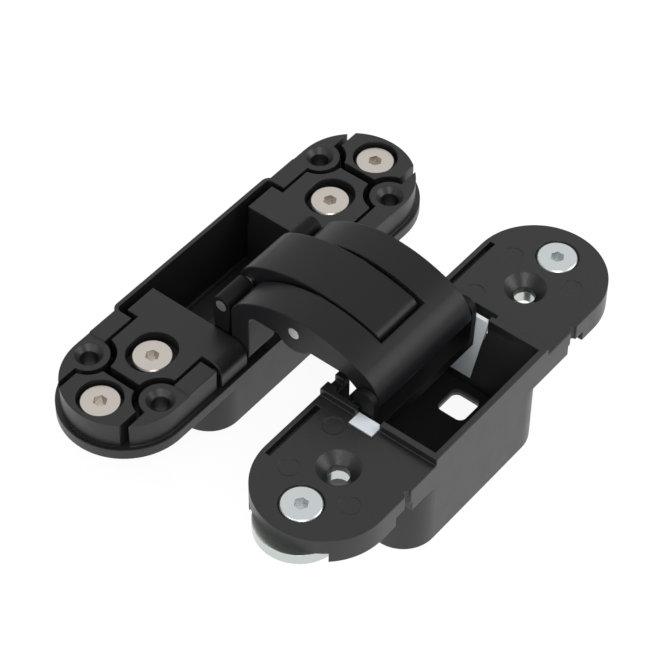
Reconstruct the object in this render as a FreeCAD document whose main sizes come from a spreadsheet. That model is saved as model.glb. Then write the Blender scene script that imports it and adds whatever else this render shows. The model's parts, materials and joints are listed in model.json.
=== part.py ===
import FreeCAD, Part
import os
import re
import Sketcher

# Concealed door hinge, lying open at 180 degrees on the bottoms of its two cups.
# +Z is up, Y runs along the bodies, the jamb body lies at -X and the door body at +X.
# The two arms cross on a centre pin and mirror each other about the plane x = linkage_x.
# Heights count from the cup bottoms; lengths are in millimetres.

doc = FreeCAD.newDocument("concealed_hinge")
sheet = doc.addObject("Spreadsheet::Sheet", "Sizes")

SIZES = {
    # Layout
    "centre_distance": 56.85,
    "linkage_x": 1.0,
    "jamb_top": 22.0,
    "flange_under": 12.0,
    "flange_top": 14.8,
    "door_top": 26.0,
    # Jamb housing: tray with a flange, a cup and four screw lugs
    "body_half": 16.5,
    "flange_centre_y": 42.2,
    "block_half": 15.4,
    "block_centre_y": 42.0,
    "cup_corner": 8.6,
    "cup_wall": 2.5,
    "cup_floor": 2.0,
    "jamb_cup_end": 31.0,
    "left_wall": 1.0,
    "left_wall_round": 2.4,
    "left_ledge": 1.0,
    "lug_x": 11.0,
    "lug_y": 42.4,
    "lug_boss_r": 5.0,
    "lug_bar_x": 10.7,
    "lug_bar_start": 28.0,
    "lug_tip_y": 53.6,
    "lug_sink_r": 3.8,
    "lug_sink_depth": 1.7,
    "lug_bore_r": 2.15,
    "lug_step": 0.3,
    "lug_step_y": 37.3,
    "thread_boss_r": 4.0,
    "thread_boss_depth": 3.5,
    "tooth_r": 0.35,
    "tooth_depth": 0.5,
    "tooth_pitch": 1.15,
    # End blocks and adjusting carrier
    "groove": 1.6,
    "end_block_start": 44.4,
    "end_block_half": 9.6,
    "carrier_wall": 9.0,
    "carrier_left": 13.2,
    "carrier_right": 15.7,
    "carrier_round": 3.6,
    "carrier_half": 9.8,
    "carrier_end": 42.2,
    "carrier_low_end": 27.3,
    "carrier_gap": 0.3,
    "carrier_floor": 1.7,
    "floor_step_x": 7.7,
    "floor_step": 0.8,
    "height_travel": 1.0,
    # Screws
    "jamb_screw_head_r": 5.0,
    "door_screw_head_r": 5.0,
    "screw_head": 2.4,
    "screw_edge": 0.4,
    "screw_shank_r": 2.45,
    "screw_sink": 1.2,
    "recess_gap": 0.6,
    "slot_gap": 0.25,
    "thread_gap": 0.05,
    "socket_flats": 3.0,
    "socket_depth": 1.8,
    "end_screw_y": 50.7,
    "carrier_screw_y": 32.8,
    # Linkage, measured from its mirror plane
    "centre_pivot_z": 35.4,
    "eye_x": 21.8,
    "eye_z": 29.5,
    "post_x": 15.9,
    "post_z": 18.7,
    "foot_x": 19.23,
    "foot_z": 12.09,
    "slack_x": 18.6,
    "slack_z": 13.0,
    "slack": 1.2,
    "jamb_foot_reach": 3.5,
    "eye_r": 3.0,
    "post_half": 2.6,
    "boss_r": 5.6,
    "crest_x": 2.0,
    "crest_z": 40.3,
    "back_radius": 30.0,
    "nose_radius": 38.0,
    "nose_front_z": 28.0,
    "shoulder_x": 16.5,
    "shoulder_low_z": 31.5,
    "shoulder_round": 3.0,
    "underside_z": 32.2,
    "crook_x": 14.8,
    "crook_round": 2.5,
    "arm_half": 17.2,
    "tongue_half": 7.1,
    "tongue_gap": 1.0,
    "window_end": 17.9,
    "window_under": 19.7,
    "window_lip": 1.3,
    "barrel_r": 2.6,
    "link_waist": 21.7,
    "link_waist_z": 17.5,
    "link_half": 1.9,
    "link_foot_r": 2.2,
    "ear_gap": 0.2,
    "link_gap": 0.3,
    "link_web_top": 20.0,
    "door_web_gap": 5.7,
    "door_link_flare": 24.4,
    "pin_cover": 0.5,
    "door_link_wall": 1.7,
    "pin_r": 1.5,
    "foot_pin_r": 1.25,
    "running_gap": 0.05,
    "washer_r": 4.0,
    "washer_gap": 0.1,
    # Door housing: moulded plate with a cup, anchor plates and bearing inserts
    "door_half": 16.5,
    "door_centre_y": 40.3,
    "door_plate": 4.3,
    "skirt": 2.9,
    "skirt_wall": 2.2,
    "door_cup_near": 29.6,
    "door_cup_far": 22.3,
    "door_hollow_round": 3.0,
    "door_cup_floor": 2.2,
    "mouth_gap": 0.4,
    "door_mouth_left": 14.0,
    "door_mouth_right": 14.95,
    "rim_height": 2.0,
    "rim_wall": 1.5,
    "arm_gate_z": 16.0,
    "gate_lip": 1.3,
    "door_sink_r": 5.2,
    "door_sink_depth": 2.6,
    "door_bore_r": 2.6,
    "door_hole_y": 35.0,
    "door_screw_y": 48.0,
    "door_pin_end": 21.0,
    "liner_left": 6.4,
    "liner_right": 0.5,
    "liner_toe": 3.4,
    "liner_heel": 12.4,
    "liner_low": 5.0,
    "liner_step_z": 16.6,
    "liner_wall": 1.0,
    "liner_flange": 1.6,
    "liner_flange_gap": 0.4,
    "liner_rise": 1.0,
    "notch_end": 23.8,
    "notch_low": 20.0,
    "foot_reach": 0.0,
    "foot_end_gap": 0.3,
    "window_x": 1.9,
    "window_half_x": 3.9,
    "floor_window_y": 13.3,
    "window_half_y": 4.05,
    "window_round": 1.8,
    "edge_slot_x": 14.6,
    "edge_slot_half": 0.75,
    "edge_slot_start": 24.0,
    "edge_slot_end": 42.0,
    "edge_slot_depth": 2.0,
    "skirt_gap_start": 29.7,
    "skirt_gap_end": 35.5,
    "side_groove_y": 31.4,
    "side_groove_r": 1.1,
    "mark_r": 2.5,
    "mark_depth": 0.1,
    "mark_x": 8.5,
    "mark_y": 41.8,
    "mark_inner_x": 8.4,
    "mark_inner_y": 26.4,
    "anchor_half": 10.5,
    "anchor_round_y": 48.7,
    "anchor_start": 30.0,
    "anchor_side_gap": 0.7,
    "margin": 1.0,
}
for row, (alias, size) in enumerate(SIZES.items(), start=1):
    sheet.set(f"A{row}", alias)
    sheet.set(f"B{row}", str(size))
    sheet.setAlias(f"B{row}", alias)
doc.recompute()

JAMB_X = "(-centre_distance / 2)"
DOOR_X = "(centre_distance / 2)"
NEAR_FAR = (("near", "-1"), ("far", "1"))
TEETH_LEFT = 3
TEETH_RIGHT = 8
WINDOW_HALF = "(tongue_half + tongue_gap)"
EAR_HALF = "(arm_half - ear_gap)"
FACE_Y = "(arm_half + link_gap)"
CARRIER_WIDE = f"({FACE_Y} + carrier_wall)"
DOOR_LINK_HALF = f"({FACE_Y} + door_link_wall)"
MOUTH_Y = f"({DOOR_LINK_HALF} + mouth_gap)"
LINER_Y = f"({MOUTH_Y} + liner_wall)"
DOOR_CUP_Y = "((door_cup_far - door_cup_near) / 2)"
DOOR_CUP_HALF = "((door_cup_far + door_cup_near) / 2)"
ALONG_Y = FreeCAD.Rotation(FreeCAD.Vector(1, 0, 0), -90)


# Expressions: every bare word is the alias of a cell
def bind(text):
    return re.sub(r"\b(?!pi\b)([a-z][a-z_0-9]*)\b(?!\s*\()", r"Sizes.\1", str(text))


def number(text):
    return float(sheet.evalExpression(bind(text)))


def place(obj, x, y, z):
    for axis, text in zip("xyz", (x, y, z)):
        obj.setExpression(f"Placement.Base.{axis}", bind(text))
    return obj


# Solids of the Part workbench, bound to the cells
def box(name, x, y, z):
    obj = doc.addObject("Part::Box", name)
    for edge, (low, high) in zip(("Length", "Width", "Height"), (x, y, z)):
        obj.setExpression(edge, bind(f"({high}) - ({low})"))
    return place(obj, x[0], y[0], z[0])


def mirrored_box(name, x, y, z, sign):
    low, high = (y[1], y[0]) if sign == "-1" else y
    return box(name, x, (f"{sign} * ({low})", f"{sign} * ({high})"), z)


def upright(name, x, y, radius, z):
    obj = doc.addObject("Part::Cylinder", name)
    obj.setExpression("Radius", bind(radius))
    obj.setExpression("Height", bind(f"({z[1]}) - ({z[0]})"))
    return place(obj, x, y, z[0])


def crosswise(name, x, z, radius, y):
    obj = doc.addObject("Part::Cylinder", name)
    obj.Placement = FreeCAD.Placement(FreeCAD.Vector(), ALONG_Y)
    obj.setExpression("Radius", bind(radius))
    obj.setExpression("Height", bind(f"({y[1]}) - ({y[0]})"))
    return place(obj, x, y[0], z)


def cone(name, x, y, z, low_r, high_r):
    obj = doc.addObject("Part::Cone", name)
    obj.setExpression("Radius1", bind(low_r))
    obj.setExpression("Radius2", bind(high_r))
    obj.setExpression("Height", bind(f"({z[1]}) - ({z[0]})"))
    return place(obj, x, y, z[0])


def hexagon(name, x, y, flats, z):
    obj = doc.addObject("Part::Prism", name)
    obj.Polygon = 6
    obj.setExpression("Circumradius", bind(f"({flats}) / sqrt(3)"))
    obj.setExpression("Height", bind(f"({z[1]}) - ({z[0]})"))
    return place(obj, x, y, z[0])


def fuse(name, pieces):
    obj = doc.addObject("Part::MultiFuse", name)
    obj.Shapes = pieces
    obj.Refine = True
    return obj


def common(name, pieces):
    obj = doc.addObject("Part::MultiCommon", name)
    obj.Shapes = pieces
    obj.Refine = True
    return obj


def cut(name, base, tools):
    obj = doc.addObject("Part::Cut", name)
    obj.Base = base
    obj.Tool = tools[0] if len(tools) == 1 else fuse(f"{name}Tools", tools)
    obj.Refine = True
    return obj


def group(name, pieces):
    obj = doc.addObject("Part::Compound", name)
    obj.Links = pieces
    return obj


def obround(name, x, half, centre_y, z):
    middle = box(f"{name}Middle", (f"{x} - ({half})", f"{x} + ({half})"), (f"-({centre_y})", centre_y), z)
    ends = [upright(f"{name}End", x, f"{sign} * ({centre_y})", half, z) for _, sign in NEAR_FAR]
    return fuse(name, [middle] + ends)


def rounded_box(name, x, y, half_x, half_y, corner, z):
    across = f"({half_x}) - ({corner})"
    along = f"({half_y}) - ({corner})"
    pieces = [
        box(f"{name}Wide", (f"{x} - ({half_x})", f"{x} + {half_x}"),
            (f"{y} - ({along})", f"{y} + {along}"), z),
        box(f"{name}Long", (f"{x} - ({across})", f"{x} + {across}"),
            (f"{y} - ({half_y})", f"{y} + {half_y}"), z),
    ]
    for side in ("-1", "1"):
        for _, sign in NEAR_FAR:
            corner_y = f"{y} + {sign} * ({along})"
            pieces.append(upright(f"{name}Corner", f"{x} + {side} * ({across})", corner_y, corner, z))
    return fuse(name, pieces)


def slot(name, x, y, half, half_length, z):
    pieces = [box(f"{name}Middle", (f"{x} - ({half})", f"{x} + {half}"),
                  (f"{y} - ({half_length})", f"{y} + {half_length}"), z)]
    for _, sign in NEAR_FAR:
        pieces.append(upright(f"{name}End", x, f"{y} + {sign} * ({half_length})", half, z))
    return fuse(name, pieces)


# Sketched profiles in the XZ plane: corners are (x, z, edge to the next corner).
# An edge is None for a line or (radius, side) for an arc; side 1 bulges to the left of the way round.
def middle_of(start, end, edge):
    chord = end - start
    across = FreeCAD.Vector(-chord.y, chord.x, 0).normalize() * edge[1]
    radius = number(edge[0])
    rise = radius - (radius ** 2 - (chord.Length / 2) ** 2) ** 0.5
    return (start + end) * 0.5 + across * rise


def sketch_outline(sketch, corners):
    points = [FreeCAD.Vector(number(x), number(z), 0) for x, z, _ in corners]
    ends = []
    for index, (_, _, edge) in enumerate(corners):
        start = points[index]
        end = points[(index + 1) % len(points)]
        forward = True
        if edge is None:
            curve = Part.LineSegment(start, end)
        else:
            middle = middle_of(start, end, edge)
            forward = (middle - start).cross(end - middle).z > 0
            curve = Part.Arc(start, middle, end) if forward else Part.Arc(end, middle, start)
        ends.append((sketch.addGeometry(curve, False), 1 if forward else 2, 2 if forward else 1))
    joins = []
    measures = []
    for index, (x, z, edge) in enumerate(corners):
        geometry, first, last = ends[index]
        following, follow_first, _ = ends[(index + 1) % len(ends)]
        joins.append(Sketcher.Constraint("Coincident", geometry, last, following, follow_first))
        measures.append((x, Sketcher.Constraint("DistanceX", -1, 1, geometry, first, points[index].x)))
        measures.append((z, Sketcher.Constraint("DistanceY", -1, 1, geometry, first, points[index].y)))
        if edge is not None:
            measures.append((edge[0], Sketcher.Constraint("Radius", geometry, number(edge[0]))))
    sketch.addConstraint(joins + [constraint for _, constraint in measures])
    for index, (text, _) in enumerate(measures, start=len(joins)):
        sketch.setExpression(f"Constraints[{index}]", bind(text))


def edges_at(shape, x, z):
    spot = (number(x), number(z))
    names = []
    for index, edge in enumerate(shape.Edges, start=1):
        bounds = edge.BoundBox
        flat = bounds.XLength < 1e-6 and bounds.ZLength < 1e-6
        if flat and abs(bounds.XMin - spot[0]) < 1e-4 and abs(bounds.ZMin - spot[1]) < 1e-4:
            names.append(f"Edge{index}")
    return names


def profile_body(name, corners, half_width, rounds):
    body = doc.addObject("PartDesign::Body", name)
    sketch = body.newObject("Sketcher::SketchObject", f"{name}Sketch")
    planes = {feature.Role: feature for feature in body.Origin.OriginFeatures}
    sketch.AttachmentSupport = [(planes["XZ_Plane"], "")]
    sketch.MapMode = "FlatFace"
    sketch_outline(sketch, corners)
    pad = body.newObject("PartDesign::Pad", f"{name}Pad")
    pad.Profile = sketch
    pad.SideType = "Symmetric"
    pad.setExpression("Length", bind(f"2 * ({half_width})"))
    doc.recompute()
    base = pad
    for x, z, radius in rounds:
        fillet = body.newObject("PartDesign::Fillet", f"{name}Round")
        fillet.Base = (base, edges_at(base.Shape, x, z))
        fillet.setExpression("Radius", bind(radius))
        doc.recompute()
        base = fillet
    return body


# Places in the linkage, mirrored by side: -1 at the jamb, 1 at the door
def at_link(side, x):
    return f"(linkage_x + {side} * ({x}))"


# Rounded end about a pivot, from one side (toward) to the other, over the top or under the bottom
def round_end(side, x, z, radius, toward, height):
    return [
        (at_link(side, f"{x} + {toward} * {radius}"), z, (radius, side)),
        (at_link(side, x), f"{z} + {height} * {radius}", (radius, side)),
        (at_link(side, f"{x} - {toward} * {radius}"), z, None),
    ]


# Arm: post with a foot pivot on one side, crest, and an eye on the other side
def arm_body(name, side, half_width):
    back_drop = "back_radius - sqrt(pow(back_radius; 2) - pow(shoulder_x + crest_x; 2))"
    nose_wide = "(eye_x + eye_r - crest_x)"
    nose_rise = "(nose_front_z - crest_z + nose_radius)"
    nose_bend = (f"((pow(nose_radius; 2) - pow({nose_wide}; 2) - pow({nose_rise}; 2))"
                 f" / (2 * (nose_radius - {nose_wide})))")
    nose_share = f"(nose_radius / (nose_radius - {nose_bend}))"
    boss_reach = "sqrt(pow(boss_r; 2) - pow(centre_pivot_z - underside_z; 2))"
    nose = (at_link(side, f"crest_x + {nose_share} * ({nose_wide} - {nose_bend})"),
            f"crest_z - nose_radius + {nose_share} * {nose_rise}")
    crook = (at_link(side, "-(post_x - post_half)"), "underside_z")
    post_top = (at_link(side, "-(post_x + post_half)"), "shoulder_low_z")
    shoulder = (at_link(side, "-shoulder_x"), f"crest_z - ({back_drop})")
    corners = [
        (*post_top, None),
        (*shoulder, ("back_radius", side)),
        (at_link(side, "crest_x"), "crest_z", ("nose_radius", side)),
        (*nose, (nose_bend, side)),
        (at_link(side, "eye_x + eye_r"), "nose_front_z", ("eye_r", side)),
        *round_end(side, "eye_x", "eye_z", "eye_r", 1, -1)[1:],
        (at_link(side, "crook_x"), "underside_z", None),
        (at_link(side, boss_reach), "underside_z", ("boss_r", side)),
        (at_link(side, f"-{boss_reach}"), "underside_z", None),
        (*crook, None),
        *round_end(side, "-post_x", "post_z", "post_half", 1, -1),
    ]
    rounds = [
        (*crook, "crook_round"),
        (*shoulder, "shoulder_round"),
        (*post_top, "shoulder_round"),
    ]
    return profile_body(name, corners, half_width, rounds)


# Link: eye on an arm's end, waist bowed away from the arm's post, foot on the slack pivot
def link_body(name, side, half_width, head_r, outer):
    corners = [
        *round_end(side, "eye_x", "eye_z", head_r, -1, 1),
        (at_link(side, outer), "link_waist_z", None),
        *round_end(side, "foot_x", "foot_z", "link_foot_r", 1, -1),
        (at_link(side, "link_waist - link_half"), "link_waist_z", None),
    ]
    return profile_body(name, corners, half_width, [])


def pin(name, side, x, z, radius, reach):
    return crosswise(name, at_link(side, x), z, radius, (f"-({reach})", reach))


def bore(name, side, x, z, radius, reach):
    return pin(name, side, x, z, radius, f"({reach}) + margin")


# Countersunk or flat screw with a hexagon socket, standing with its head's top at z = top
def socket_screw(name, x, y, top, tip, head_r, sunk):
    seat = f"{top} - screw_head"
    edge = f"{top} - screw_edge"
    if sunk:
        head = cone(f"{name}Head", x, y, (seat, edge), "screw_shank_r", head_r)
    else:
        head = upright(f"{name}Head", x, y, head_r, (seat, edge))
    pieces = [
        head,
        cone(f"{name}Edge", x, y, (edge, top), head_r, f"{head_r} - screw_edge"),
        upright(f"{name}Shank", x, y, "screw_shank_r", (tip, seat)),
    ]
    socket = hexagon(f"{name}Socket", x, y, "socket_flats", (f"{top} - socket_depth", f"{top} + margin"))
    return cut(name, fuse(f"{name}Turned", pieces), [socket])


# Jamb side
def lug_pieces(name, spare, z):
    pieces = []
    for side in ("-1", "1"):
        for _, sign in NEAR_FAR:
            pieces.append(upright(f"{name}Boss", f"{JAMB_X} + {side} * lug_x", f"{sign} * lug_y",
                                  f"lug_boss_r + {spare}", z))
            inner = f"{JAMB_X} + {side} * (lug_bar_x - {spare})"
            outer = f"{JAMB_X} + {side} * body_half"
            across = (outer, inner) if side == "-1" else (inner, outer)
            along = (f"lug_bar_start - {spare}", f"lug_tip_y + {spare}")
            pieces.append(mirrored_box(f"{name}Bar", across, along, z, sign))
    return pieces


# Thin outer wall of the jamb cup, turned in at both ends to meet the lugs
def left_wall():
    z = ("flange_top - margin", "jamb_top")
    end = "lug_bar_start + left_wall"
    outer = rounded_box("LeftWallOuter", JAMB_X, "0", "body_half", end, "left_wall_round", z)
    inner = rounded_box("LeftWallInner", JAMB_X, "0", "body_half - left_wall", "lug_bar_start",
                        "left_wall_round - left_wall", (f"{z[0]} - margin", "jamb_top + margin"))
    half = box("LeftWallHalf", (f"{JAMB_X} - body_half", f"{JAMB_X} - lug_bar_x"), (f"-({end})", end), z)
    return common("LeftWall", [cut("LeftWallRing", outer, [inner]), half])


def jamb_housing():
    rise = ("flange_top - margin", "jamb_top")
    lugs = common("LugTops", [
        obround("LugOutline", JAMB_X, "block_half", "block_centre_y", rise),
        fuse("LugShapes", lug_pieces("Lug", "0", rise)),
    ])
    tray = [
        obround("Flange", JAMB_X, "body_half", "flange_centre_y", ("flange_under", "flange_top")),
        rounded_box("JambCup", JAMB_X, "0", "body_half", "jamb_cup_end", "cup_corner", ("0", "flange_top")),
        lugs,
        left_wall(),
    ]
    cuts = [rounded_box("JambHollow", JAMB_X, "0", "body_half - cup_wall", "jamb_cup_end - cup_wall",
                        "cup_corner - cup_wall", ("cup_floor", "flange_top + margin"))]
    inside = (f"{JAMB_X} - (body_half - left_wall)", f"{JAMB_X} - (body_half - cup_wall - margin)")
    straight = "jamb_cup_end - cup_corner"
    cuts.append(box("LeftHollow", inside, (f"-({straight})", straight), ("cup_floor", "flange_top + margin")))
    cuts.append(box("LeftLedge", inside, ("-lug_bar_start", "lug_bar_start"),
                    ("flange_under + left_ledge", "flange_top + margin")))
    for _, sign in NEAR_FAR:
        lugs_x = (f"{JAMB_X} - body_half", f"{JAMB_X} + body_half")
        cuts.append(mirrored_box("LugStep", lugs_x, ("lug_step_y", "block_centre_y + block_half + margin"),
                                 ("jamb_top - lug_step", "jamb_top + margin"), sign))
        for y in ("end_screw_y", "carrier_screw_y"):
            depth = ("flange_under - thread_boss_depth", "flange_top")
            tray.append(upright("ThreadBoss", JAMB_X, f"{sign} * {y}", "thread_boss_r", depth))
            through = ("flange_under - thread_boss_depth - margin", "flange_top + margin")
            cuts.append(upright("ThreadHole", JAMB_X, f"{sign} * {y}", "screw_shank_r + thread_gap", through))
        for side in ("-1", "1"):
            x = f"{JAMB_X} + {side} * lug_x"
            y = f"{sign} * lug_y"
            sink = ("jamb_top - lug_sink_depth", "jamb_top")
            whole = ("flange_under - margin", "jamb_top + margin")
            cuts.append(upright("LugBore", x, y, "lug_bore_r", whole))
            cuts.append(cone("LugSink", x, y, sink, "lug_bore_r", "lug_sink_r"))
    ring = "block_half + tooth_r"
    for step in range(-TEETH_LEFT, TEETH_RIGHT + 1):
        turn = f"({step} * tooth_pitch / ({ring}) * 180 / pi)"
        spot = (f"{JAMB_X} + ({ring}) * sin{turn}", f"-(block_centre_y + ({ring}) * cos{turn})")
        cuts.append(upright("Tooth", *spot, "tooth_r", ("flange_top - tooth_depth", "flange_top + margin")))
    return cut("jamb_housing", fuse("JambTray", tray), cuts)


def end_block(side_name, sign):
    z = ("flange_top", "jamb_top")
    outline = obround("EndOutline", JAMB_X, "block_half", "block_centre_y", z)
    across = (f"{JAMB_X} - end_block_half", f"{JAMB_X} + end_block_half")
    along = ("end_block_start", "block_centre_y + block_half + margin")
    blank = common("EndBlank", [outline, mirrored_box("EndZone", across, along, z, sign)])
    y = f"{sign} * end_screw_y"
    through = ("flange_top - margin", "jamb_top + margin")
    seat = ("jamb_top - screw_sink - screw_head", "jamb_top + margin")
    cuts = lug_pieces("EndGroove", "groove", through)
    cuts.append(upright("EndRecess", JAMB_X, y, "jamb_screw_head_r + recess_gap", seat))
    cuts.append(upright("EndHole", JAMB_X, y, "screw_shank_r + slot_gap", through))
    return cut(f"{side_name}_end_block", blank, cuts)


def adjusting_carrier():
    bottom = "cup_floor + carrier_gap"
    floor = f"{bottom} + carrier_floor"
    ledge = "flange_top + carrier_gap"
    low_half = "body_half - cup_wall - carrier_gap"
    low_corner = "cup_corner - cup_wall - carrier_gap"
    top = (ledge, "jamb_top")
    through = (f"{ledge} - margin", "jamb_top + margin")
    cradle = (bottom, ledge)
    pieces = [rounded_box("CarrierCradle", JAMB_X, "0", low_half, "carrier_low_end", low_corner, cradle)]
    every_x = (f"{JAMB_X} - body_half - margin", f"{JAMB_X} + body_half + margin")
    between = (f"-{FACE_Y}", FACE_Y)
    cuts = [
        box("LinkSpace", every_x, between, (floor, "jamb_top + margin")),
        box("FloorStep", (every_x[0], f"{JAMB_X} - floor_step_x"), between, (f"{floor} - floor_step", floor)),
    ]
    round_x = f"{JAMB_X} + carrier_right - carrier_round"
    round_z = "jamb_top - carrier_round"
    for _, sign in NEAR_FAR:
        wide = (f"{JAMB_X} - carrier_left", f"{JAMB_X} + carrier_right")
        pieces.append(mirrored_box("CarrierWide", wide, (FACE_Y, CARRIER_WIDE), top, sign))
        narrow = (f"{JAMB_X} - carrier_half", f"{JAMB_X} + carrier_half")
        pieces.append(mirrored_box("CarrierNarrow", narrow, (CARRIER_WIDE, "carrier_end"), top, sign))
        corner = mirrored_box("CornerBlank", (round_x, f"{JAMB_X} + carrier_right + margin"),
                              (f"{FACE_Y} - margin", f"{CARRIER_WIDE} + margin"),
                              (round_z, "jamb_top + margin"), sign)
        reach = (f"-{CARRIER_WIDE} - 2 * margin", f"{CARRIER_WIDE} + 2 * margin")
        core = crosswise("CornerCore", round_x, round_z, "carrier_round", reach)
        cuts.append(cut("CornerRound", corner, [core]))
        y = f"{sign} * carrier_screw_y"
        seat = ("jamb_top - screw_sink - screw_head", "jamb_top + margin")
        cuts.append(slot("CarrierRecess", JAMB_X, y, "jamb_screw_head_r + recess_gap", "height_travel", seat))
        cuts.append(slot("CarrierSlot", JAMB_X, y, "screw_shank_r + slot_gap", "height_travel", through))
        for side in ("-1", "1"):
            lug = (f"{JAMB_X} + {side} * lug_x", f"{sign} * lug_y")
            cuts.append(upright("LugNotch", *lug, "lug_boss_r + groove", through))
    cuts.append(pin("CarrierPinBore", -1, "post_x", "post_z", "pin_r", f"{CARRIER_WIDE} + margin"))
    slack_r = "foot_pin_r + slack"
    cuts.append(pin("CarrierSlackBore", -1, "slack_x", "slack_z", slack_r, f"{FACE_Y} + 2 * jamb_foot_reach"))
    return cut("adjusting_carrier", fuse("CarrierBlank", pieces), cuts)


# Linkage
def outer_arm():
    blank = arm_body("OuterArmBody", 1, "arm_half")
    tools = [
        box("ForkWindow", (at_link(-1, "eye_x + margin"), at_link(1, "window_end")),
            (f"-{WINDOW_HALF}", WINDOW_HALF), ("0", "crest_z + margin")),
        box("ForkUnder", (at_link(1, "window_end - margin"), at_link(1, "window_under")),
            (f"-{WINDOW_HALF}", WINDOW_HALF), ("0", "underside_z + window_lip")),
        bore("OuterPostBore", -1, "post_x", "post_z", "pin_r + running_gap", "arm_half"),
        bore("OuterCentreBore", 1, "0", "centre_pivot_z", "pin_r", "arm_half"),
        bore("OuterEyeBore", 1, "eye_x", "eye_z", "pin_r + running_gap", "arm_half"),
    ]
    return cut("outer_arm", blank, tools)


def inner_arm():
    blank = arm_body("InnerArmBody", -1, "tongue_half")
    tools = [
        bore("InnerPostBore", 1, "post_x", "post_z", "pin_r + running_gap", "tongue_half"),
        bore("InnerCentreBore", 1, "0", "centre_pivot_z", "pin_r + running_gap", "tongue_half"),
        bore("InnerEyeBore", -1, "eye_x", "eye_z", "pin_r + running_gap", "tongue_half"),
    ]
    return cut("inner_arm", blank, tools)


def jamb_link():
    blank = link_body("JambLinkBody", -1, EAR_HALF, "barrel_r", "link_waist + link_half")
    across = (at_link(-1, "eye_x + 2 * barrel_r"), at_link(-1, "foot_x - 2 * link_foot_r"))
    tools = [
        box("EarGap", across, (f"-{WINDOW_HALF}", WINDOW_HALF), ("link_web_top", "eye_z + 2 * barrel_r")),
        bore("JambEyeBore", -1, "eye_x", "eye_z", "pin_r", EAR_HALF),
        bore("JambFootBore", -1, "foot_x", "foot_z", "foot_pin_r", EAR_HALF),
    ]
    return cut("jamb_link", blank, tools)


def door_link():
    blank = link_body("DoorLinkBody", 1, DOOR_LINK_HALF, "eye_r", "door_link_flare")
    across = (at_link(1, "foot_x - 3 * link_foot_r"), at_link(1, "eye_x + 2 * barrel_r"))
    tools = [
        box("PlateSpace", across, (f"-{FACE_Y}", FACE_Y),
            ("eye_z - eye_r - door_web_gap", "eye_z + 2 * barrel_r")),
        pin("DoorEyeBore", 1, "eye_x", "eye_z", "pin_r", f"{DOOR_LINK_HALF} - pin_cover"),
        bore("DoorFootBore", 1, "foot_x", "foot_z", "foot_pin_r", DOOR_LINK_HALF),
    ]
    return cut("door_link", blank, tools)


def spacers(name, side, x, z):
    rings = []
    for side_name, sign in NEAR_FAR:
        y = (f"{sign} * (tongue_half + washer_gap)", f"{sign} * ({WINDOW_HALF} - washer_gap)")
        y = y if sign == "1" else (y[1], y[0])
        disc = crosswise(f"{name}Disc", at_link(side, x), z, "washer_r", y)
        hole = bore(f"{name}Hole", side, x, z, "pin_r + running_gap", WINDOW_HALF)
        rings.append(cut(f"{name}Ring", disc, [hole]))
    return group(name, rings)


# Door side
# Hollow of the door cup: square towards the arms, round in the two far corners
def door_hollow(mouth, z):
    turn_x = f"{mouth[1]} - door_hollow_round"
    turn_y = f"({MOUTH_Y} - door_hollow_round)"
    pieces = [
        box("HollowWide", (mouth[0], turn_x), (f"-{MOUTH_Y}", MOUTH_Y), z),
        box("HollowDeep", (mouth[0], mouth[1]), (f"-{turn_y}", turn_y), z),
    ]
    for _, sign in NEAR_FAR:
        pieces.append(upright("HollowCorner", turn_x, f"{sign} * {turn_y}", "door_hollow_round", z))
    return fuse("DoorHollow", pieces)


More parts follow.
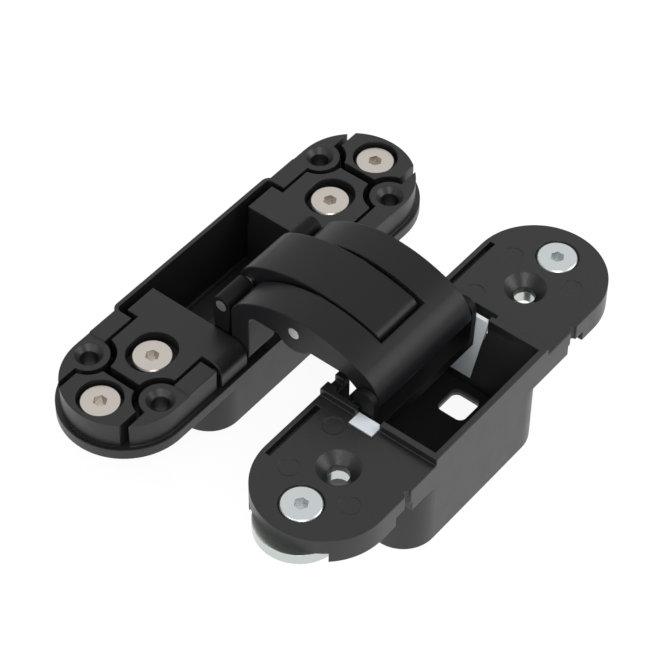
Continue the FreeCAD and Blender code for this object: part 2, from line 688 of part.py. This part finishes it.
def door_housing(liner):
    plate_low = "door_top - door_plate"
    skirt_low = f"{plate_low} - skirt"
    rim_top = "door_top + rim_height"
    pieces = [
        obround("DoorPlate", DOOR_X, "door_half", "door_centre_y", (skirt_low, "door_top")),
        rounded_box("DoorCup", DOOR_X, DOOR_CUP_Y, "door_half", DOOR_CUP_HALF, "cup_corner",
                    ("0", "door_top")),
        box("DoorRim", (f"{DOOR_X} - door_half", f"{DOOR_X} + door_half"),
            (f"-({MOUTH_Y} + rim_wall)", f"{MOUTH_Y} + rim_wall"), (plate_low, rim_top)),
    ]
    mouth = (f"{DOOR_X} - door_mouth_left", f"{DOOR_X} + door_mouth_right")
    gate = (f"{DOOR_X} - door_half - margin", mouth[0])
    cuts = [
        box("DoorMouth", mouth, (f"-{MOUTH_Y}", MOUTH_Y), (skirt_low, f"{rim_top} + margin")),
        door_hollow(mouth, ("door_cup_floor", "door_top")),
        box("ArmGate", (gate[0], f"{gate[1]} + margin"),
            (f"-({MOUTH_Y} - gate_lip)", f"{MOUTH_Y} - gate_lip"),
            ("arm_gate_z", f"{rim_top} + margin")),
    ]
    under = cut("DoorUnderside", obround("UnderOutline", DOOR_X, "door_half - skirt_wall", "door_centre_y",
                                         (f"{skirt_low} - margin", plate_low)),
                [rounded_box("UnderKeep", DOOR_X, DOOR_CUP_Y, "door_half", DOOR_CUP_HALF, "cup_corner",
                             (f"{skirt_low} - 2 * margin", "door_top"))])
    cuts.append(under)
    for _, sign in NEAR_FAR:
        opening = (f"{DOOR_X} - anchor_half - anchor_side_gap", f"{DOOR_X} + anchor_half + anchor_side_gap")
        beyond = ("door_centre_y", "door_centre_y + door_half + margin")
        cuts.append(mirrored_box("SkirtOpening", opening, beyond, (f"{skirt_low} - margin", plate_low), sign))
        y = f"{sign} * door_hole_y"
        through = (f"{skirt_low} - margin", "door_top + margin")
        cuts.append(upright("DoorBore", DOOR_X, y, "door_bore_r", through))
        cuts.append(cone("DoorSink", DOOR_X, y, ("door_top - door_sink_depth", "door_top"),
                         "door_bore_r", "door_sink_r"))
        y = f"{sign} * door_screw_y"
        edge = "door_top - screw_edge"
        cuts.append(upright("DoorScrewBore", DOOR_X, y, "screw_shank_r + slot_gap", through))
        cuts.append(cone("DoorScrewSeat", DOOR_X, y, ("door_top - screw_head", edge),
                         "screw_shank_r + slot_gap", "door_screw_head_r + slot_gap"))
        rim = (edge, "door_top + margin")
        cuts.append(upright("DoorScrewRim", DOOR_X, y, "door_screw_head_r + slot_gap", rim))
        notch = (f"{DOOR_X} - liner_left", f"{DOOR_X} + liner_right")
        cuts.append(mirrored_box("LinerNotch", notch, (MOUTH_Y, "notch_end"),
                                 ("notch_low", f"{rim_top} + margin"), sign))
        slot_x = (f"{DOOR_X} - edge_slot_x - edge_slot_half", f"{DOOR_X} - edge_slot_x + edge_slot_half")
        cuts.append(mirrored_box("EdgeSlot", slot_x, ("edge_slot_start", "edge_slot_end"),
                                 ("door_top - edge_slot_depth", rim_top), sign))
        side_x = (f"{DOOR_X} + door_half - skirt_wall - margin", f"{DOOR_X} + door_half + margin")
        cuts.append(mirrored_box("SkirtGap", side_x, ("skirt_gap_start", "skirt_gap_end"),
                                 (f"{skirt_low} - margin", plate_low), sign))
        groove = (f"{DOOR_X} + door_half", f"{sign} * side_groove_y")
        cuts.append(upright("SideGroove", *groove, "side_groove_r", through))
        for x, y in (("-mark_x", "mark_y"), ("mark_x", "mark_y"), ("-mark_inner_x", "mark_inner_y")):
            cuts.append(upright("EjectorMark", f"{DOOR_X} + {x}", f"{sign} * {y}", "mark_r",
                                ("door_top - mark_depth", "door_top + margin")))
        window = (f"{DOOR_X} - window_x", f"{sign} * floor_window_y")
        cuts.append(rounded_box("FloorWindow", *window, "window_half_x", "window_half_y", "window_round",
                                ("-margin", "door_cup_floor + margin")))
    cuts.append(liner)
    cuts.append(pin("DoorPinBore", 1, "post_x", "post_z", "pin_r", "door_pin_end"))
    cuts.append(pin("DoorSlackBore", 1, "slack_x", "slack_z", "foot_pin_r + slack",
                    f"{LINER_Y} + foot_reach + foot_end_gap"))
    return cut("door_housing", fuse("DoorBlank", pieces), cuts)


# White liner on each end wall of the door cup: narrow at the top, with a wide toe round the slack pivot
def liner_body():
    corners = [
        (f"{DOOR_X} - liner_left", "door_top + liner_rise", None),
        (f"{DOOR_X} + liner_right", "door_top + liner_rise", None),
        (f"{DOOR_X} - liner_toe", "liner_low", None),
        (f"{DOOR_X} - liner_heel", "liner_low", None),
        (f"{DOOR_X} - liner_heel", "liner_step_z", None),
        (f"{DOOR_X} - liner_left", "liner_step_z", None),
    ]
    return profile_body("LinerBody", corners, LINER_Y, [])


def bearing_liner(side_name, sign, blank):
    top = "door_top" if side_name == "near" else "door_top + liner_rise"
    zone = mirrored_box("LinerZone", (f"{DOOR_X} - door_half", f"{DOOR_X} + door_half"),
                        (MOUTH_Y, "notch_end"), ("0", top), sign)
    plate = common("LinerBlank", [blank, zone])
    if side_name == "near":
        across = (f"{DOOR_X} - liner_left", f"{DOOR_X} + liner_right - liner_flange_gap")
        flange = mirrored_box("LinerFlange", across, (MOUTH_Y, "notch_end - liner_flange_gap"),
                              ("door_top - liner_flange", top), sign)
        plate = fuse("LinerPlate", [plate, flange])
    slack_bore = bore("LinerSlackBore", 1, "slack_x", "slack_z", "foot_pin_r + slack", "notch_end")
    return cut(f"{side_name}_bearing_liner", plate, [slack_bore])


def anchor_plate(side_name, sign):
    top = "door_top - door_plate"
    z = (f"{top} - skirt", top)
    straight = mirrored_box("AnchorBar", (f"{DOOR_X} - anchor_half", f"{DOOR_X} + anchor_half"),
                            ("anchor_start", "anchor_round_y"), z, sign)
    tip = upright("AnchorTip", DOOR_X, f"{sign} * anchor_round_y", "anchor_half", z)
    through = (f"{top} - skirt - margin", f"{top} + margin")
    tools = [
        upright("AnchorBore", DOOR_X, f"{sign} * door_hole_y", "door_bore_r", through),
        upright("AnchorThread", DOOR_X, f"{sign} * door_screw_y", "screw_shank_r + thread_gap", through),
    ]
    return cut(f"{side_name}_anchor_plate", fuse("AnchorBlank", [straight, tip]), tools)


def screw_pair(name, x, y, top, tip, head_r, sunk):
    return group(name, [socket_screw(f"{name}Screw", x, f"{sign} * {y}", top, tip, head_r, sunk)
                        for _, sign in NEAR_FAR])


liner_blank = liner_body()
jamb_tip = "flange_under - thread_boss_depth"
jamb_head = "jamb_top - screw_sink"
parts = {
    "jamb_housing": jamb_housing(),
    "adjusting_carrier": adjusting_carrier(),
    "end_block_screws": screw_pair("EndScrews", JAMB_X, "end_screw_y", jamb_head, jamb_tip,
                                   "jamb_screw_head_r", False),
    "carrier_screws": screw_pair("CarrierScrews", JAMB_X, "carrier_screw_y", jamb_head, jamb_tip,
                                 "jamb_screw_head_r", False),
    "jamb_arm_pin": pin("JambArmPin", -1, "post_x", "post_z", "pin_r", f"{CARRIER_WIDE} - margin"),
    "outer_arm": outer_arm(),
    "inner_arm": inner_arm(),
    "centre_pin": pin("CentrePin", 1, "0", "centre_pivot_z", "pin_r", "arm_half"),
    "centre_spacers": spacers("CentreSpacers", 1, "0", "centre_pivot_z"),
    "jamb_link": jamb_link(),
    "jamb_link_pin": pin("JambLinkPin", -1, "eye_x", "eye_z", "pin_r", EAR_HALF),
    "jamb_foot_pin": pin("JambFootPin", -1, "foot_x", "foot_z", "foot_pin_r", f"{FACE_Y} + jamb_foot_reach"),
    "door_link": door_link(),
    "door_link_pin": pin("DoorLinkPin", 1, "eye_x", "eye_z", "pin_r", f"{DOOR_LINK_HALF} - pin_cover"),
    "door_foot_pin": pin("DoorFootPin", 1, "foot_x", "foot_z", "foot_pin_r", 
                         f"{LINER_Y} + foot_reach"),
    "door_housing": door_housing(liner_blank),
    "door_arm_pin": pin("DoorArmPin", 1, "post_x", "post_z", "pin_r", "door_pin_end"),
    "anchor_screws": screw_pair("AnchorScrews", DOOR_X, "door_screw_y", "door_top",
                                "door_top - door_plate - skirt",
                                "door_screw_head_r", True),
}
for side_name, sign in NEAR_FAR:
    parts[f"{side_name}_end_block"] = end_block(side_name, sign)
    parts[f"{side_name}_anchor_plate"] = anchor_plate(side_name, sign)
    parts[f"{side_name}_bearing_liner"] = bearing_liner(side_name, sign, liner_blank)
doc.recompute()

for obj in doc.Objects:
    if "Invalid" in obj.State or "Error" in obj.State:
        raise RuntimeError(f"{obj.Name} failed: {obj.State}")

os.makedirs("parts", exist_ok=True)
for label, obj in parts.items():
    obj.Label = label
    if obj.Shape.isNull() or not obj.Shape.isValid():
        raise RuntimeError(f"{label} has no valid shape")
for label, obj in parts.items():
    obj.Shape.exportStep(f"parts/{label}.step")
    print(label, len(obj.Shape.Solids), round(obj.Shape.Volume, 1))
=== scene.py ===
import json
import math

import bmesh
import bpy
from mathutils import Matrix, Vector


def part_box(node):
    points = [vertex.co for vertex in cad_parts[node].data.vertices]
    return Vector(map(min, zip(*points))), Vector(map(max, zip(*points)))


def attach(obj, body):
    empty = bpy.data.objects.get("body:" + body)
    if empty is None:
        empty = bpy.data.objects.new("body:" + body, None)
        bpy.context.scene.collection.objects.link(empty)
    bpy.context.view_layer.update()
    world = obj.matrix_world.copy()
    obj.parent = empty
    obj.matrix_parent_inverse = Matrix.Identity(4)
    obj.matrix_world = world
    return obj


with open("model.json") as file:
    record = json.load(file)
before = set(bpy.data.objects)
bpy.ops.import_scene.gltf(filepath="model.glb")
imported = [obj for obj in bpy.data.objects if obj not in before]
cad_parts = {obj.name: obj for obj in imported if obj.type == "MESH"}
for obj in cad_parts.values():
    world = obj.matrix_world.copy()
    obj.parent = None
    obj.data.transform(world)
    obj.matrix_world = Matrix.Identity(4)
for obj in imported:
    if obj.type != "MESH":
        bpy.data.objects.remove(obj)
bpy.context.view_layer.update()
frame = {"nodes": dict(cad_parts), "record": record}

MM = 0.001
scene = bpy.context.scene
nodes = frame["nodes"]

# Camera that matches the photo: place in the part's frame, then direction, roll and lens
CAMERA_PLACE = Vector((250.885, -321.51, 470.21)) * MM
CAMERA_AZIMUTH = math.radians(38.36)
CAMERA_ELEVATION = math.radians(47.64)
CAMERA_ROLL = math.radians(0.66)
CAMERA_LENS = 144.1
SENSOR_WIDTH = 36.0
CLIP_END = 20.0

# Finishes: colour, roughness, gloss level, metal share, then grain height and edge softness in millimetres
FINISHES = {
    "black_casting": {
        "color": (0.008, 0.008, 0.0085), "rough": 0.38, "gloss": 0.45, "grain": 0.09, "edge": 0.45,
    },
    "black_arm": {
        "color": (0.007, 0.007, 0.008), "rough": 0.38, "gloss": 0.24, "grain": 0.05, "edge": 0.5,
    },
    # Links: black, and darker and duller than the arms as painted shade where they sit deep in the cup
    "black_link_painted_shade": {
        "color": (0.004, 0.004, 0.004), "rough": 0.55, "gloss": 0.15, "grain": 0.03, "edge": 0.2,
    },
    "black_moulding": {
        "color": (0.007, 0.007, 0.0075), "rough": 0.36, "gloss": 0.48, "grain": 0.14, "edge": 0.45,
        # Inside the door cup: near-black colour as painted shade, and a rougher surface
        "inside": {"color": (0.002, 0.002, 0.002), "rough": 0.8},
    },
    "nickel_screw": {"color": (0.58, 0.535, 0.49), "rough": 0.30, "metal": 1.0, "edge": 0.12},
    "zinc_screw": {"color": (0.60, 0.635, 0.645), "rough": 0.34, "metal": 1.0, "edge": 0.12},
    "zinc_plate": {"color": (0.56, 0.60, 0.57), "rough": 0.22, "metal": 1.0, "edge": 0.3},
    "white_nylon": {"color": (0.60, 0.65, 0.685), "rough": 0.45, "edge": 0.2},
    "steel_pin": {"color": (0.62, 0.62, 0.63), "rough": 0.38, "metal": 1.0, "edge": 0.12},
    "dark_spacer": {"color": (0.012, 0.012, 0.012), "rough": 0.5, "edge": 0.1},
}
LINK_NODES = ("jamb_link", "door_link")
PLAIN_GLOSS = 0.5
GRAIN_SCALE = 2600.0
GRAIN_STRENGTH = 0.35
NOISE_DETAIL = 2.0
CLOUD_SCALE = 180.0
CLOUD_SPREAD = 0.12
EDGE_SAMPLES = 6

# Box inside the door cup, up to just under the plate's top, where shade is painted into the moulding's colour
CUP_SIDE = 1.6 * MM
CUP_SKIN = 1.0 * MM
CUP_TOP = 0.6 * MM
cup = next(entry for entry in frame["record"]["physics"]["openings"] if entry["name"] == "door_cup")
cup_side = Vector((CUP_SIDE, CUP_SIDE, CUP_SIDE))
cup_low = Vector(cup["box_m"][0]) - cup_side
cup_high = Vector(cup["box_m"][1]) + cup_side
cup_low.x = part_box("door_housing")[0].x + CUP_SKIN
cup_high.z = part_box("near_bearing_liner")[1].z - CUP_TOP


def noise_field(tree, place, scale):
    noise = tree.nodes.new("ShaderNodeTexNoise")
    noise.inputs["Scale"].default_value = scale
    noise.inputs["Detail"].default_value = NOISE_DETAIL
    tree.links.new(place.outputs["Object"], noise.inputs["Vector"])
    return noise.outputs["Fac"]


# One inside the box, nought outside it
def box_mask(tree, place, low, high):
    split = tree.nodes.new("ShaderNodeSeparateXYZ")
    tree.links.new(place.outputs["Object"], split.inputs["Vector"])
    mask = None
    for axis in range(3):
        within = tree.nodes.new("ShaderNodeMath")
        within.operation = "COMPARE"
        within.inputs[1].default_value = (low[axis] + high[axis]) / 2
        within.inputs[2].default_value = (high[axis] - low[axis]) / 2
        tree.links.new(split.outputs[axis], within.inputs[0])
        if mask is None:
            mask = within.outputs["Value"]
            continue
        both = tree.nodes.new("ShaderNodeMath")
        both.operation = "MULTIPLY"
        tree.links.new(mask, both.inputs[0])
        tree.links.new(within.outputs["Value"], both.inputs[1])
        mask = both.outputs["Value"]
    return mask


# Roughness that drifts a little over the surface
def clouded_roughness(tree, place, rough):
    drift = tree.nodes.new("ShaderNodeMapRange")
    drift.inputs["To Min"].default_value = rough * (1 - CLOUD_SPREAD)
    drift.inputs["To Max"].default_value = rough * (1 + CLOUD_SPREAD)
    tree.links.new(noise_field(tree, place, CLOUD_SCALE), drift.inputs["Value"])
    return drift.outputs["Result"]


# Painted shade: near-black colour inside the door cup, and a duller, rougher surface there
def dull_inside(tree, place, shader, look, rough):
    mask = box_mask(tree, place, cup_low, cup_high)
    shade_tone = tree.nodes.new("ShaderNodeMix")
    shade_tone.data_type = "RGBA"
    shade_tone.inputs["A"].default_value = (*look["color"], 1.0)
    shade_tone.inputs["B"].default_value = (*look["inside"]["color"], 1.0)
    dull = tree.nodes.new("ShaderNodeMix")
    dull.inputs["B"].default_value = look["inside"]["rough"]
    tree.links.new(mask, shade_tone.inputs["Factor"])
    tree.links.new(mask, dull.inputs["Factor"])
    tree.links.new(rough, dull.inputs["A"])
    tree.links.new(shade_tone.outputs["Result"], shader.inputs["Base Color"])
    return dull.outputs["Result"]


# Softened edges, and a fine grain where the finish has one
def surface_normal(tree, place, look):
    bevel = tree.nodes.new("ShaderNodeBevel")
    bevel.samples = EDGE_SAMPLES
    bevel.inputs["Radius"].default_value = look["edge"] * MM
    if "grain" not in look:
        return bevel.outputs["Normal"]
    bump = tree.nodes.new("ShaderNodeBump")
    bump.inputs["Strength"].default_value = GRAIN_STRENGTH
    bump.inputs["Distance"].default_value = look["grain"] * MM
    tree.links.new(noise_field(tree, place, GRAIN_SCALE), bump.inputs["Height"])
    tree.links.new(bevel.outputs["Normal"], bump.inputs["Normal"])
    return bump.outputs["Normal"]


def finish_material(slot, look):
    material = bpy.data.materials.new(slot)
    material.use_nodes = True
    tree = material.node_tree
    shader = tree.nodes["Principled BSDF"]
    shader.inputs["Base Color"].default_value = (*look["color"], 1.0)
    shader.inputs["Metallic"].default_value = look.get("metal", 0.0)
    shader.inputs["Specular IOR Level"].default_value = look.get("gloss", PLAIN_GLOSS)
    place = tree.nodes.new("ShaderNodeTexCoord")
    rough = clouded_roughness(tree, place, look["rough"])
    # Painted shade inside the door cup, for finishes that have it
    if "inside" in look:
        rough = dull_inside(tree, place, shader, look, rough)
    tree.links.new(rough, shader.inputs["Roughness"])
    tree.links.new(surface_normal(tree, place, look), shader.inputs["Normal"])
    return material


materials = {slot: finish_material(slot, look) for slot, look in FINISHES.items()}
for entry in frame["record"]["subparts"]:
    # Links get the darker finish, painted shade, in place of their own slot
    slot = "black_link_painted_shade" if entry["node"] in LINK_NODES else entry["material_slot"]
    mesh = nodes[entry["node"]].data
    mesh.materials.clear()
    mesh.materials.append(materials[slot])

# Crown that brings the tongue's back flush with the fork, in millimetres, with x from the linkage's plane
LINKAGE_X = 1.0
CREST_X = -2.0
TONGUE_RADIUS = 30.0
CROWN_RADIUS = 55.4
DIP_RADIUS = 18.0
CROWN_START = -5.0
CROWN_END = 16.8
CROWN_ROUND = 2.5
CROWN_FOOT = 32.6
CROWN_SINK = 0.6
CROWN_INSET = 0.02
CROWN_STEPS = 24
ROUND_STEPS = 8

# Stepped ridge behind the near lip of the door plate, in millimetres: it stands on the sill of the arm's gate
RIDGE_LENGTH = 2.48
RIDGE_INSET = 0.02
RIDGE_NEAR_Y = -18.6
RIDGE_STEP_Y = -15.7
RIDGE_FAR_Y = -13.5
RIDGE_FOOT = 15.5
RIDGE_LEDGE = 1.8

# Turn from which an edge of the crown or the ridge stays sharp
SHARP_ANGLE = math.radians(35)


# Height of an arc whose highest point is the crest
def arc_height(x, crest_z, radius):
    return crest_z - radius + math.sqrt(radius ** 2 - (x - CREST_X) ** 2)


# Top of the crown, from its start under the tongue's back to its rounded end, and its foot below
def crown_outline(crest_z):
    middle_x = CROWN_END - CROWN_ROUND
    lean = math.asin((middle_x - CREST_X) / (CROWN_RADIUS - CROWN_ROUND))
    middle_z = crest_z - CROWN_RADIUS + (CROWN_RADIUS - CROWN_ROUND) * math.cos(lean)
    join_x = CREST_X + CROWN_RADIUS * math.sin(lean)
    top = []
    for step in range(CROWN_STEPS):
        x = CROWN_START + (join_x - CROWN_START) * step / CROWN_STEPS
        radius = CROWN_RADIUS if x > CREST_X else DIP_RADIUS
        top.append((x, arc_height(x, crest_z, radius)))
    for step in range(ROUND_STEPS + 1):
        angle = lean + (math.pi / 2 - lean) * step / ROUND_STEPS
        top.append((middle_x + CROWN_ROUND * math.sin(angle), middle_z + CROWN_ROUND * math.cos(angle)))
    foot = [(x, max(arc_height(x, crest_z, TONGUE_RADIUS) - CROWN_SINK, CROWN_FOOT)) for x, _ in top]
    return top, foot


# Closed piece drawn through sections with the same number of points
def section_piece(name, rows, body, slot):
    shape = bmesh.new()
    rings = [[shape.verts.new(Vector(point) * MM) for point in row] for row in rows]
    for first, second in zip(rings, rings[1:]):
        for side in range(len(first)):
            after = (side + 1) % len(first)
            shape.faces.new((first[side], first[after], second[after], second[side]))
    shape.faces.new(rings[0])
    shape.faces.new(reversed(rings[-1]))
    bmesh.ops.recalc_face_normals(shape, faces=shape.faces)
    mesh = bpy.data.meshes.new(name)
    shape.to_mesh(mesh)
    shape.free()
    mesh.shade_smooth()
    mesh.set_sharp_from_angle(angle=SHARP_ANGLE)
    mesh.materials.append(materials[slot])
    piece = bpy.data.objects.new(name, mesh)
    scene.collection.objects.link(piece)
    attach(piece, body)


def tongue_crown():
    _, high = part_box("inner_arm")
    half = high.y / MM - CROWN_INSET
    rows = []
    for (x, top_z), (_, foot_z) in zip(*crown_outline(high.z / MM)):
        section = [(-half, foot_z), (-half, top_z), (half, top_z), (half, foot_z)]
        rows.append([(LINKAGE_X + x, y, z) for y, z in section])
    section_piece("tongue_crown", rows, "inner_arm_set", "black_arm")


def gate_ridge():
    low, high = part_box("door_housing")
    left = low.x / MM + RIDGE_INSET
    top = high.z / MM
    ledge = top - RIDGE_LEDGE
    profile = [
        (RIDGE_NEAR_Y, RIDGE_FOOT), (RIDGE_NEAR_Y, ledge), (RIDGE_STEP_Y, ledge),
        (RIDGE_STEP_Y, top), (RIDGE_FAR_Y, top), (RIDGE_FAR_Y, RIDGE_FOOT),
    ]
    rows = [[(x, y, z) for y, z in profile] for x in (left, left + RIDGE_LENGTH)]
    section_piece("gate_ridge", rows, "door_side", "black_moulding")


tongue_crown()
gate_ridge()

# Floor: size and drop below the hinge in metres, brightness as seen and as lit, and the share that glows
FLOOR_SIZE = 6.0
FLOOR_DROP = 0.0002
FLOOR_SEEN = 1.07
FLOOR_LIT = 0.8
FLOOR_GLOW = 0.85


# Pale floor: white to the camera and in reflections with a soft shadow, pale grey under the light
def floor_material(name, seen, lit, share):
    material = bpy.data.materials.new(name)
    material.use_nodes = True
    tree = material.node_tree
    tree.nodes.clear()
    output = tree.nodes.new("ShaderNodeOutputMaterial")
    mix = tree.nodes.new("ShaderNodeMixShader")
    path = tree.nodes.new("ShaderNodeLightPath")
    direct = tree.nodes.new("ShaderNodeMath")
    direct.operation = "MAXIMUM"
    glowing = tree.nodes.new("ShaderNodeMath")
    glowing.operation = "MULTIPLY"
    glowing.inputs[1].default_value = share
    diffuse = tree.nodes.new("ShaderNodeBsdfDiffuse")
    diffuse.inputs["Color"].default_value = (lit, lit, lit, 1.0)
    glow = tree.nodes.new("ShaderNodeEmission")
    glow.inputs["Color"].default_value = (seen, seen, seen, 1.0)
    tree.links.new(path.outputs["Is Camera Ray"], direct.inputs[0])
    tree.links.new(path.outputs["Is Glossy Ray"], direct.inputs[1])
    tree.links.new(direct.outputs["Value"], glowing.inputs[0])
    tree.links.new(glowing.outputs["Value"], mix.inputs["Fac"])
    tree.links.new(diffuse.outputs["BSDF"], mix.inputs[1])
    tree.links.new(glow.outputs["Emission"], mix.inputs[2])
    tree.links.new(mix.outputs["Shader"], output.inputs["Surface"])
    return material


bpy.ops.mesh.primitive_plane_add(size=FLOOR_SIZE, location=(0.0, 0.0, -FLOOR_DROP))
floor = bpy.context.object
floor.name = "floor"
floor.data.materials.append(floor_material("floor_white", FLOOR_SEEN, FLOOR_LIT, FLOOR_GLOW))

# World brightness to the camera, and as fill light
WORLD_SEEN = 1.0
WORLD_FILL = 0.72


# World: white to the camera, dim grey as fill light
def studio_world(seen, fill):
    world = bpy.data.worlds.new("studio")
    world.use_nodes = True
    tree = world.node_tree
    background = tree.nodes["Background"]
    path = tree.nodes.new("ShaderNodeLightPath")
    shade = tree.nodes.new("ShaderNodeMix")
    shade.inputs["A"].default_value = fill
    shade.inputs["B"].default_value = seen
    tree.links.new(path.outputs["Is Camera Ray"], shade.inputs["Factor"])
    tree.links.new(shade.outputs["Result"], background.inputs["Strength"])
    background.inputs["Color"].default_value = (1.0, 1.0, 1.0, 1.0)
    return world


scene.world = studio_world(WORLD_SEEN, WORLD_FILL)

# Soft boxes aimed at the hinge's middle: place, width and height in metres, power in watts
MIDDLE = Vector((0.0, 0.0, 0.02))
SOFT_BOXES = {
    "overhead": {"place": (-0.4, 0.5, 0.8), "width": 0.9, "height": 0.9, "power": 0.6},
    "right_back": {"place": (0.76, 0.6, 0.6), "width": 0.8, "height": 0.7, "power": 5.0},
    "front": {"place": (0.48, -0.5, 0.8), "width": 0.4, "height": 0.4, "power": 2.6},
    "front_strip": {"place": (0.12, -1.0, 0.42), "width": 1.5, "height": 0.3, "power": 5.0},
}


def soft_box(name, place, width, height, power):
    data = bpy.data.lights.new(name, "AREA")
    data.shape = "RECTANGLE"
    data.size = width
    data.size_y = height
    data.energy = power
    light = bpy.data.objects.new(name, data)
    scene.collection.objects.link(light)
    light.location = place
    aim = MIDDLE - Vector(place)
    light.rotation_euler = aim.to_track_quat("-Z", "Y").to_euler()


for name, values in SOFT_BOXES.items():
    soft_box(name, **values)


def photo_camera():
    sin_a, cos_a = math.sin(CAMERA_AZIMUTH), math.cos(CAMERA_AZIMUTH)
    sin_e, cos_e = math.sin(CAMERA_ELEVATION), math.cos(CAMERA_ELEVATION)
    back = Vector((sin_a * cos_e, -cos_a * cos_e, sin_e))
    right = Vector((cos_a, sin_a, 0.0))
    up = back.cross(right)
    turn = Matrix.Rotation(CAMERA_ROLL, 3, back)
    axes = Matrix((turn @ right, turn @ up, back)).transposed()
    data = bpy.data.cameras.new("photo_camera")
    data.sensor_width = SENSOR_WIDTH
    data.lens = CAMERA_LENS
    data.clip_end = CLIP_END
    camera = bpy.data.objects.new("photo_camera", data)
    camera.matrix_world = Matrix.Translation(CAMERA_PLACE) @ axes.to_4x4()
    scene.collection.objects.link(camera)
    return camera


scene.camera = photo_camera()
scene.view_settings.view_transform = "Standard"
